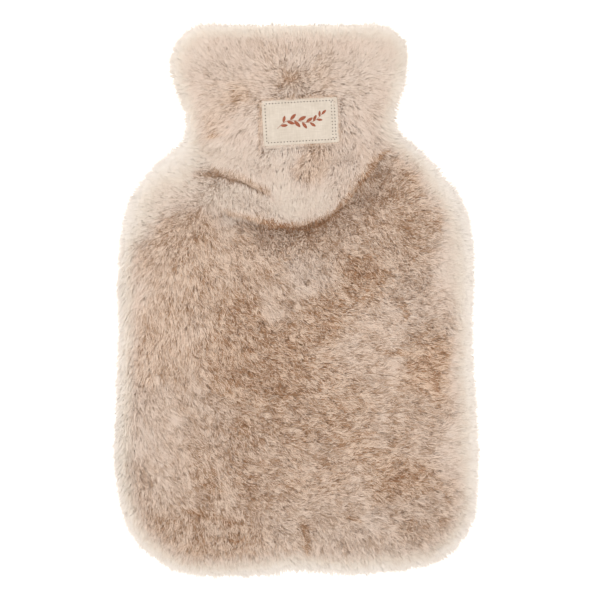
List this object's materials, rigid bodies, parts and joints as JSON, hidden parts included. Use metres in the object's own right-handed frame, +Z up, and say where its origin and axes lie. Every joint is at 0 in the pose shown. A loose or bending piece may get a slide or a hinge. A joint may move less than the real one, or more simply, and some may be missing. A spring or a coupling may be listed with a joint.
{
  "type": "hot water bottle cover",
  "caption": "Plush faux fur cover for a hot water bottle: a flat pouch with rounded shoulders, a flared neck open at the top, a rolled fold below the neck and a small sewn label.",
  "frame": {"origin": "on the surface the cover lies on, below the middle of its outline", "axes": "+Z up out of the front, +Y from the closed bottom end to the mouth of the neck, +X to the right seen from the front"},
  "size_m": [0.2377, 0.3544, 0.0638],
  "materials": {
    "fur": "long brushed pile, pale brown with paler tips",
    "label_cloth": "matte cream weave"
  },
  "bodies": {
    "root": {"front_panel": "fur", "back_panel": "fur", "label": "label_cloth"}
  },
  "joints": []
}
